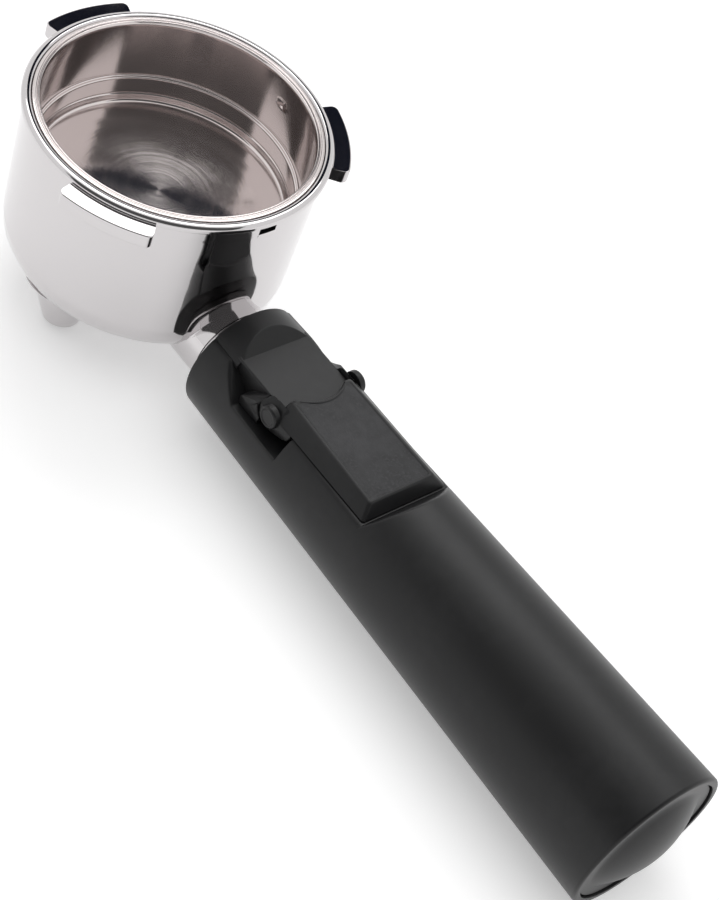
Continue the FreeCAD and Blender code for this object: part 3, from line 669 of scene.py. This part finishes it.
# %% Outlets
OUTLET_Y = 17.3
OUTLET_FOOT = -49.4
OUTLET_BORE = 2.8
OUTLET_RADIUS = 4.0
OUTLET_FILLET = 1.5
TAPER = 5.0 / 14.8
OUTLET_TOP = -37.2
OUTSIDE_FROM = 4.2
foot_corners = [(OUTLET_BORE, CHAMBER_FLOOR), (OUTLET_BORE, OUTLET_FOOT), (OUTLET_RADIUS, OUTLET_FOOT),
                (4.34, -48.4)]
taper_z = np.linspace(-48.7, OUTLET_TOP, 40)
taper_r = OUTLET_RADIUS + (taper_z - OUTLET_FOOT) * TAPER
tube = np.concatenate([filleted(foot_corners, [0.25, 0.5])[:-2], np.column_stack([taper_r, taper_z]),
                       [(3.0, OUTLET_TOP), (OUTLET_BORE, CHAMBER_FLOOR)]])
turn = full_turn(96)
for side, offset in (("left", OUTLET_Y), ("right", -OUTLET_Y)):
    tube_r = np.repeat(tube[:, :1], len(turn), axis=1)
    tube_z = np.repeat(tube[:, 1:], len(turn), axis=1)
    gap = distance_to_cup(tube_r * np.cos(turn), offset + tube_r * np.sin(turn), tube_z)
    tube_r = tube_r + np.where(tube_r > OUTSIDE_FROM, fillet_height(gap, OUTLET_FILLET), 0)
    grid = np.stack([tube_r * np.cos(turn), offset + tube_r * np.sin(turn), tube_z], axis=-1)
    piece("outlet_" + side, [surface(grid)], [chrome], "holder", "chrome", "spout_" + side)

# %% [markdown]
# ## Ferrule
# A bright ring closes the joint between the neck and the handle, and is about as wide as the neck. A
# cylinder with a Bevel modifier would do, but the profile helper rounds edges already. So the ring is turned
# from four corners.

# %% Ferrule
FERRULE_RADIUS = 9.4
FERRULE_X = (31.85, 34.15)
ring = filleted([(0, FERRULE_X[0]), (FERRULE_RADIUS, FERRULE_X[0]), (FERRULE_RADIUS, FERRULE_X[1]),
                 (0, FERRULE_X[1])], [0.4, 0.2])
piece("ferrule", [turned(ring, full_turn(160), "x", (0, 0, HANDLE_Z))], [chrome], "holder", "chrome",
      "neck_ferrule")

# %% [markdown]
# ## Handle shell
# The moulded shell is a slow taper with a stepped cut-out for the lever. A Boolean could cut it; a formula
# keeps the grid even, and rounds the cut edges as well. Round the axis, each point keeps its width but its
# height is clipped: z = soft_min(R cos a, h(x)). The clip height h is a polyline along the handle, so one
# formula gives the taper, the ledges, the sloping front of the pocket and the wall behind the lever.

# %% Handle taper and opening
HANDLE_START = 34.2
HANDLE_END = 159.5
START_RADIUS = 13.1
END_RADIUS = 16.65
LEDGE_H = 9.4
POCKET_H = 4.4
CLEAR_OF_SHELL = 30.0


def taper(x):
    """Outer radius of the handle, growing evenly from its start to its end."""
    return START_RADIUS + (END_RADIUS - START_RADIUS) * (x - HANDLE_START) / (HANDLE_END - HANDLE_START)


def along_handle(x, y, height):
    """A grid whose rows lie at x along the handle; heights count from the handle's axis."""
    rows = np.broadcast_to(np.asarray(x)[:, None], y.shape)
    return surface(np.stack([rows, y, height + HANDLE_Z], axis=-1))


opening = np.array([(34.0, LEDGE_H), (40.2, LEDGE_H), (40.4, 9.3), (46.7, 4.5), (46.95, POCKET_H),
                    (61.35, POCKET_H), (61.5, 4.5), (61.6, 9.25), (61.8, LEDGE_H), (84.1, LEDGE_H),
                    (88.1, 15.24), (88.2, CLEAR_OF_SHELL)])
print("handle radius", START_RADIUS, "to", END_RADIUS)

# %% Handle shell
SHELL_FRONT = 34.22
SHELL_REAR = 159.45
PLUG_SEAT_RADIUS = 15.1
PLUG_SEAT_X = 156.6
CUT_BLEND = 0.8
front = filleted([(0, SHELL_FRONT), (START_RADIUS, SHELL_FRONT), (13.6, 50.0)], [0.3])[:-2]
rear = filleted([(16.1, 140.0), (END_RADIUS, SHELL_REAR), (PLUG_SEAT_RADIUS, SHELL_REAR),
                 (PLUG_SEAT_RADIUS, PLUG_SEAT_X), (0, PLUG_SEAT_X)], [1.4, 0.15, 0.1])[1:]
# Stations lie closer together where the height of the opening changes.
stations = np.unique(np.concatenate([opening[1:, 0], np.linspace(35, 157.5, 60), np.linspace(40, 47.2, 22),
                                     np.linspace(61.2, 62, 9), np.linspace(83.8, 88.3, 31)]))
shell_x = np.concatenate([front[:, 1], stations, rear[:, 1]])
shell_r = np.concatenate([front[:, 0], taper(stations), rear[:, 0]])
turn = full_turn(480)
clip = np.interp(shell_x, *opening.T)[:, None]
up = soft_min(np.outer(shell_r, np.cos(turn)), np.broadcast_to(clip, (len(clip), len(turn))), CUT_BLEND)
shell = along_handle(shell_x, np.outer(shell_r, np.sin(turn)), up)
piece("handle_cover", [shell], [shell_plastic], "holder", "handle_plastic", "handle_shell")

# %% [markdown]
# ## Core: collar, ramp and recess floor
# The core is a moulding inside the shell, and shows through the cut-out. In front is a collar that carries
# on the taper; its rear slopes down to a flat floor, so the taper and the slope meet in a half-moon. A cone
# cut by a plane would give that too. As a height over the plane, min(taper, slope), the collar needs no cut,
# and the line where the two meet is softened. The floor is a rounded bar.

# %% Collar
COLLAR_FRONT = 34.25
COLLAR_FOOT = 8.6
COLLAR_SPLIT = 9.45
COLLAR_MIDDLE = 9.5
RAMP_START = 38.5
RAMP_END = 42.0
FLOOR_H = 10.5
ABOVE_CROWN = 3.0
CORE_GAP = 0.15
RAMP_BLEND = 0.12
collar_x = np.concatenate([[COLLAR_FRONT], np.linspace(COLLAR_FRONT, 38.3, 8),
                           np.linspace(38.45, RAMP_END, 34), [RAMP_END]])
core_r = taper(collar_x) - CORE_GAP
half = np.sqrt(core_r ** 2 - COLLAR_SPLIT ** 2)
collar_y = np.outer(half, np.linspace(-1, 1, 101))
slope = np.interp(collar_x, [RAMP_START, RAMP_END], [START_RADIUS, FLOOR_H])
slope = slope + np.where(collar_x < RAMP_START, ABOVE_CROWN, 0)
crown = np.sqrt(np.maximum(core_r[:, None] ** 2 - collar_y ** 2, 0))
collar_z = soft_min(crown, np.broadcast_to(slope[:, None], crown.shape), RAMP_BLEND)
collar_y = np.concatenate([collar_y[:, :1], collar_y, collar_y[:, -1:]], axis=1)
collar_z = np.pad(collar_z, ((0, 0), (1, 1)), constant_values=COLLAR_FOOT)
# The first and the last row shrink to a point, which closes the ends.
collar_y[[0, -1]] = 0
collar_z[[0, -1]] = COLLAR_MIDDLE
collar = along_handle(collar_x, collar_y, collar_z)
print("collar:", collar_y.shape)

# %% Recess floor
BAR_HALF = 8.4
BAR_FOOT = 2.0
BAR_MIDDLE = 6.0
bar_corners = [(0, BAR_FOOT), (BAR_HALF, BAR_FOOT), (BAR_HALF, FLOOR_H), (-BAR_HALF, FLOOR_H),
               (-BAR_HALF, BAR_FOOT), (0, BAR_FOOT)]
bar = filleted(bar_corners, [0.3, 0.3, 0.3, 0.3])[:-1]
bar_x = np.array([41.0, 41.0, 41.1, 58.0, 58.2, 58.3, 58.3])
bar_scale = np.array([0, 1, 1, 1, 0.99, 0.97, 0])[:, None]
bar_y = bar_scale * bar[:, 0]
bar_z = BAR_MIDDLE + bar_scale * (bar[:, 1] - BAR_MIDDLE)
floor_bar = along_handle(bar_x, bar_y, bar_z)
print("recess floor:", bar_y.shape)

# %% [markdown]
# Two small ribs stand in front of the lever's hubs, one on each side. An extruded curve with a bevel could
# make them, but not the sloping cut of their tops. So ribs and lever arms are plates: an outline in the plane
# of x and height, carried across the handle and drawn in near the faces that show, which rounds the edges. A
# sloping plane cuts the tops, so that they run on into the lever's sloping sides. The rear of a rib is an arc
# about the lever's pivot, just wider than the hub.

# %% Plates and ribs
PIVOT_X = 55.0
PIVOT_H = 9.1
HUB = 3.6
HUB_GAP = 0.15
SLOPE_FROM = 7.5
SLOPE_TOP = 13.0
SLOPE_FALL = 1.18
RIB_FOOT = 4.5
RIDGE = np.array([(46.6, 6.7), (52.3, 11.5), (58.1, 13.0)])


def side_slope(depth):
    """The lever's sides fall outwards: top - fall * (|depth| - from)."""
    return SLOPE_TOP - SLOPE_FALL * (np.abs(depth) - SLOPE_FROM)


def slab(plate_line, middle, depths, scales):
    """An outline of (x, height) carried over depths, scaled about its middle, below the side slope."""
    plan = np.asarray(middle) + np.asarray(scales)[:, None, None] * (plate_line - np.asarray(middle))
    depth = np.broadcast_to(np.asarray(depths)[:, None], plan.shape[:2])
    height = np.minimum(plan[..., 1], side_slope(depth))
    return surface(np.stack([plan[..., 0], depth, height + HANDLE_Z], axis=-1))


def ridge(x):
    """Upper edge of the lever's arms, which the ribs carry on: a polyline of x and height."""
    return np.interp(x, *RIDGE.T)


around = np.linspace(0.42, -0.9, 16)
rib_rear = np.column_stack([PIVOT_X - (HUB + HUB_GAP) * np.cos(around),
                            PIVOT_H + (HUB + HUB_GAP) * np.sin(around)])
rib_front = filleted([(50.0, RIB_FOOT), (RIDGE[0, 0], RIB_FOOT), RIDGE[0], (50.5, 9.9)], [0.1, 0.5])
rib_line = np.concatenate([rib_front, rib_rear, [(52.5, RIB_FOOT)]])
rib_depth = np.array([8.2, 8.2, 9.0, 9.8, 10.3, 10.6, 10.8, 10.9, 10.9])
rib_scale = [0, 1, 1, 1, 1, 1, 0.98, 0.93, 0]
ribs = [slab(rib_line, (49.3, 6.4), side * rib_depth, rib_scale) for side in (1, -1)]
piece("core_collar", [collar, floor_bar, *ribs], [core_plastic], "holder", "core_plastic", "handle_core")

# %% [markdown]
# ## Lever
# The lever flips up by the thumb. Its flat has sloping sides and a hollowed front edge. A cube with bevels
# would not give that edge, so the foot and the top are two outlines with the same points, and the sides run
# between them. A rounded edge leads on to the flat, which is sunk a little inside a ridge and closes on a
# spine in the middle.

# %% Lever outlines
LEVER_FRONT = 55.6
LEVER_REAR = 83.8
LEVER_FOOT = 9.7
FOOT_HALF = 10.4
TOP_FRONT_HALF = 7.4
TOP_REAR_HALF = 8.1
TOP_REAR = 82.0
FLAT_H = 13.0
FLAT_FROM = 56.7
FLAT_FALL = 0.9
BEND_X = 58.1
BEND = 0.1
NOTCH_MIDDLE = 49.2
NOTCH_RADIUS = 9.0


def lever_outline(front_half, rear_half, rear_x):
    """Closed plan outline: round corners, and a notch x = middle + sqrt(radius^2 - y^2) in front."""
    notch_y = math.sqrt(NOTCH_RADIUS ** 2 - (LEVER_FRONT - NOTCH_MIDDLE) ** 2)
    sides = filleted([(LEVER_FRONT, notch_y), (LEVER_FRONT, front_half), (rear_x, rear_half),
                      (rear_x, -rear_half), (LEVER_FRONT, -front_half), (LEVER_FRONT, -notch_y)],
                     [0.9, 0.7, 0.7, 0.9], steps=7)
    y = np.linspace(-notch_y, notch_y, 42)[1:-1]
    notch = np.stack([NOTCH_MIDDLE + np.sqrt(NOTCH_RADIUS ** 2 - y ** 2), y], axis=1)
    return np.concatenate([sides, notch])


def lever_top(x):
    """The flat falls evenly to the rear, and bends down in front by bend * (bend_x - x)^2."""
    fall = FLAT_FALL * (x - FLAT_FROM) / (LEVER_REAR - FLAT_FROM)
    return FLAT_H - fall - BEND * np.maximum(BEND_X - x, 0) ** 2


foot_line = lever_outline(FOOT_HALF, FOOT_HALF, LEVER_REAR)
top_line = lever_outline(TOP_FRONT_HALF, TOP_REAR_HALF, TOP_REAR)
print("lever outlines:", len(foot_line), "points each")

# %% Lever plate
SPINE_X = (66.0, 76.0)
ROUND_FROM = 0.87
ROUND_TO = 0.055
foot = np.column_stack([foot_line, np.full(len(foot_line), LEVER_FOOT)])
edge = np.column_stack([top_line, lever_top(top_line[:, 0])])
spine_x = np.clip(top_line[:, 0], *SPINE_X)
spine = np.column_stack([spine_x, np.zeros(len(spine_x)), lever_top(spine_x)])
low_spine = np.column_stack([spine[:, :2], np.full(len(spine), LEVER_FOOT)])
up_side = np.array([0, 0.1, 0.84])[:, None, None]
sides = foot + (edge - foot) * up_side
# The edge is rounded from this share of the way up the side to this share of the way in to the spine.
side_end = foot + (edge - foot) * ROUND_FROM
flat_start = edge + (spine - edge) * ROUND_TO
flat_start[:, 2] = lever_top(flat_start[:, 0])
s = np.linspace(0, 1, 7)[:, None, None]
rounded = (1 - s) ** 2 * side_end + 2 * s * (1 - s) * edge + s ** 2 * flat_start
inward = np.array([0.012, 0.03, 0.045, 0.06, 0.1, 0.15, 0.2, 0.27, 0.35, 0.5, 0.7, 1.0])[:, None, None]
sunk = np.interp(inward[..., 0], [0.012, 0.03, 0.045, 0.06], [0, 0.02, 0.16, 0.18])
flat = flat_start + (spine - flat_start) * inward
flat[..., 2] = lever_top(flat[..., 0]) - sunk
plate = surface(np.concatenate([low_spine[None], sides, rounded, flat]) + [0, 0, HANDLE_Z])
print("lever plate:", len(plate[1]), "quads")

# %% [markdown]
# Each arm is a plate too. Its outline is the furthest point, in every direction, of a hub circle and a tail,
# cut off at the ridge. Round bosses cover the ends of the hinge pin; they are turned about the pivot.

# %% Arms and bosses
way = full_turn(72)
heading = np.stack([np.cos(way), np.sin(way)], axis=1)
hub = np.array([PIVOT_X, PIVOT_H]) + HUB * heading
tail = np.array([[59.6, 6.9], [60.6, 7.6], [61.0, 8.6], [61.0, 9.7]])
furthest = np.column_stack([(hub * heading).sum(1), heading @ tail.T]).argmax(1)
arm_line = np.where((furthest == 0)[:, None], hub, tail[np.maximum(furthest - 1, 0)])
arm_line[:, 1] = np.minimum(arm_line[:, 1], ridge(arm_line[:, 0]))
arm_depth = np.array([8.5, 8.5, 8.6, 8.8, 9.4, 9.8, 10.2, 10.4, 10.5, 10.5])
arm_scale = [0, 0.93, 0.985, 1, 1, 1, 1, 0.985, 0.93, 0]
boss = filleted([(0, 11.3), (1.6, 11.3), (1.8, 11.5), (2.15, 11.5), (2.45, 11.2), (2.45, 10.0), (0, 10.0)],
                [0.1, 0.1, 0.15, 0.2, 0.1], steps=4)
lever_parts = [plate]
for side in (1, -1):
    lever_parts.append(slab(arm_line, (57.0, 9.6), side * arm_depth, arm_scale))
    lever_parts.append(turned(boss * [1, side], full_turn(64), "y", (PIVOT_X, 0, PIVOT_H + HANDLE_Z)))
lever = piece("flip_lever", lever_parts, [core_plastic, lever_plastic], "lever", "lever_plastic",
              "thumb_lever", crease=50.0)

# %% [markdown]
# Only the sunk flat has the spark texture. It could be a piece of its own, but then a seam would show. Its
# faces look up and lie below the ridge, and those two tests pick them out.

# %% Texture on the flat
LOOKS_UP = 0.97
TEXTURE_FROM = 57
ABOVE_FOOT = 11
BELOW_RIDGE = 0.1
middles = face_values(lever, "center") / MM
above_axis = middles[:, 2] - HANDLE_Z
on_flat = (face_values(lever, "normal")[:, 2] > LOOKS_UP) & (middles[:, 0] > TEXTURE_FROM)
on_flat &= (above_axis > ABOVE_FOOT) & (above_axis < lever_top(middles[:, 0]) - BELOW_RIDGE)
lever.data.polygons.foreach_set("material_index", on_flat.astype(np.int32))
print("textured faces:", int(on_flat.sum()))

# %% [markdown]
# ## End cap
# A plug with a flat border and a shallow dome closes the handle. It is sunk a little, which leaves a dark
# line round it. A flattened sphere could stand for the dome, but its edge would be too steep. So the dome is
# part of a larger ball, whose radius follows from the width and the rise.

# %% End cap
CAP_FACE = 159.0
CAP_INNER = 156.7
CAP_RADIUS = 14.9
DOME_RADIUS = 12.0
DOME_RISE = 3.48
DOME_EDGE = 11.7
BORDER_EDGE = 12.3
inwards = np.linspace(0.03, 1, 26)
ball_radius = (DOME_RADIUS ** 2 + DOME_RISE ** 2) / (2 * DOME_RISE)
dome_r = DOME_EDGE * (1 - inwards)
dome_x = CAP_FACE + DOME_RISE - ball_radius + np.sqrt(ball_radius ** 2 - dome_r ** 2)
border = filleted([(0, CAP_INNER), (CAP_RADIUS, CAP_INNER), (CAP_RADIUS, CAP_FACE), (BORDER_EDGE, CAP_FACE),
                   (dome_r[0], dome_x[0])], [0.1, 0.35, 0.5])
cap = np.concatenate([border, np.column_stack([dome_r, dome_x])[1:]])
piece("end_plug", [turned(cap, full_turn(160), "x", (0, 0, HANDLE_Z))], [shell_plastic], "holder",
      "handle_plastic", "end_cap")

# %% [markdown]
# ## Hidden hardware
# The tie rod, its washers and nut and the hinge pin hold the handle together. They could be made anew, with
# threads, but hardly any of them shows. So they keep their solids and only take a finish.

# %% Hardware finish
for node in ("tie_rod", "tie_washer", "spring_washer", "tie_nut", "hinge_pin"):
    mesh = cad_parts[node].data
    mesh.materials.clear()
    mesh.materials.append(zinc)
print("hardware finished in", zinc.name)

# %% [markdown]
# ## Stage
# The part lies on a white floor. The floor glows a little for camera and mirror rays only, and more so far
# away, so that it reads as white while the shadow on it stays. Two cards are seen by reflections alone: a
# small dark one behind the cup darkens the tops of the two far lugs, and a grey one on the camera's side
# leans over the part and gives the liner its dark half. Without them, bright metal looks like white paint.

# %% Paper
NEAR = 0.4
FAR = 1.0


def make_paper(name, colour, glow, far_glow):
    """Matt paper that glows for camera and mirror rays; the glow changes between near and far, in metres."""
    finish, tree, shader, where = new_finish(name, colour, metallic=0.0, roughness=0.9)
    shader.inputs["Specular IOR Level"].default_value = 0.0
    shader.inputs["Emission Color"].default_value = (1, 1, 1, 1)
    path = tree.nodes.new("ShaderNodeLightPath")
    seen = math_node(tree, "MAXIMUM", path.outputs["Is Camera Ray"], path.outputs["Is Glossy Ray"])
    distance = tree.nodes.new("ShaderNodeVectorMath")
    distance.operation = "LENGTH"
    tree.links.new(where, distance.inputs[0])
    level = ranged(tree, distance.outputs["Value"], glow, far_glow, NEAR, FAR)
    tree.links.new(math_node(tree, "MULTIPLY", seen, level), shader.inputs["Emission Strength"])
    return finish


floor_paper = make_paper("white_paper", (0.86, 0.86, 0.86), glow=0.36, far_glow=0.62)
dark_paper = make_paper("dark_card", (0.012, 0.014, 0.026), glow=0.0, far_glow=0.0)
grey_paper = make_paper("grey_card", (0.02, 0.02, 0.02), glow=0.09, far_glow=0.09)
print("papers:", [finish.name for finish in (floor_paper, dark_paper, grey_paper)])


# %% Floor and cards
def sheet(name, corners, finish):
    """One flat quad of the stage, with its corners in metres."""
    mesh = bpy.data.meshes.new(name)
    mesh.from_pydata(corners, [], [(0, 1, 2, 3)])
    mesh.materials.append(finish)
    item = bpy.data.objects.new(name, mesh)
    bpy.context.scene.collection.objects.link(item)
    return item


low = solid_box[0][2]
FLOOR_REACH = 4.0
floor_corners = [(x * FLOOR_REACH, y * FLOOR_REACH, low) for x, y in ((-1, -1), (1, -1), (1, 1), (-1, 1))]
sheet("floor", floor_corners, floor_paper)
behind = sheet("card_behind", [(-0.1765, 0.1056, 0.112), (-0.0927, 0.1916, 0.112),
                               (-0.0927, 0.1916, 0.197), (-0.1765, 0.1056, 0.197)], dark_paper)
in_front = sheet("card_in_front", [(1.1, 0.09, 0.3), (-0.12, -1.09, 0.3), (-0.51, -0.7, 1.0),
                                   (0.715, 0.48, 1.0)], grey_paper)
for card in (behind, in_front):
    card.visible_camera = False
    card.visible_diffuse = False
    card.visible_shadow = False
print("floor at", round(low, 5))

# %% [markdown]
# ## Light
# A softbox stands high behind the cup, and draws the bright band along the handle. A broad fill from above
# lights the rest; reflections don't see it, since a second window in the plating would be one too many. The
# world is white for the camera and for reflections, and weaker as a light.

# %% World
WORLD_LIGHT = 0.45
WORLD_SEEN = 1.0
world = bpy.data.worlds.new("studio")
bpy.context.scene.world = world
world.use_nodes = True
sky = world.node_tree
path = sky.nodes.new("ShaderNodeLightPath")
seen = math_node(sky, "MAXIMUM", path.outputs["Is Camera Ray"], path.outputs["Is Glossy Ray"])
seen = math_node(sky, "MAXIMUM", seen, path.outputs["Is Transmission Ray"])
background = sky.nodes["Background"]
sky.links.new(ranged(sky, seen, WORLD_LIGHT, WORLD_SEEN), background.inputs["Strength"])
background.inputs["Color"].default_value = (1, 1, 1, 1)
print("world light", WORLD_LIGHT)


# %% Lamps
def lamp(name, place, target, size, power):
    """A rectangular area lamp at a place in metres, turned to its target."""
    data = bpy.data.lights.new(name, "AREA")
    data.shape = "RECTANGLE"
    data.size, data.size_y = size
    data.energy = power
    item = bpy.data.objects.new(name, data)
    item.location = place
    item.rotation_euler = (Vector(place) - Vector(target)).to_track_quat("Z", "Y").to_euler()
    bpy.context.scene.collection.objects.link(item)
    return item


lamp("softbox", place=(-0.42, 0.42, 0.92), target=(0.05, 0, -0.02), size=(0.8, 0.56), power=3.0)
fill = lamp("fill", place=(0.1, -0.1, 1.4), target=(0.05, 0, 0), size=(1.6, 1.6), power=9.0)
fill.visible_glossy = False
print("lamps:", [light.name for light in bpy.data.lights])

# %% [markdown]
# ## Camera
# A camera could be placed by eye. Here its place and turn were fitted to the photograph, by the rim, the
# lugs and the handle's outline, so that picture and render can be laid over each other. The turn is kept
# as three directions: to the right, down and forward in the picture.

# %% Camera
CAMERA_MM = (231.643, -239.013, 275.124)
CAMERA_RIGHT = (0.5960048, 0.75334231, 0.27794541)
CAMERA_DOWN = (0.70246089, -0.32147325, -0.63498318)
CAMERA_FORWARD = (-0.38900768, 0.5736988, -0.72079311)
FOCAL_MM = 88.0
SENSOR_MM = 36.0
lens = bpy.data.cameras.new("camera")
lens.lens = FOCAL_MM
lens.sensor_width = SENSOR_MM
lens.clip_start = 0.01
camera = bpy.data.objects.new("camera", lens)
axes = np.array([CAMERA_RIGHT, np.negative(CAMERA_DOWN), np.negative(CAMERA_FORWARD)]).T
turn_and_place = [[*row, place * MM] for row, place in zip(axes, CAMERA_MM)]
camera.matrix_world = Matrix(turn_and_place + [[0, 0, 0, 1]])
bpy.context.scene.collection.objects.link(camera)
bpy.context.scene.camera = camera
bpy.context.scene.view_settings.view_transform = "Standard"
print("camera", lens.lens, "mm")
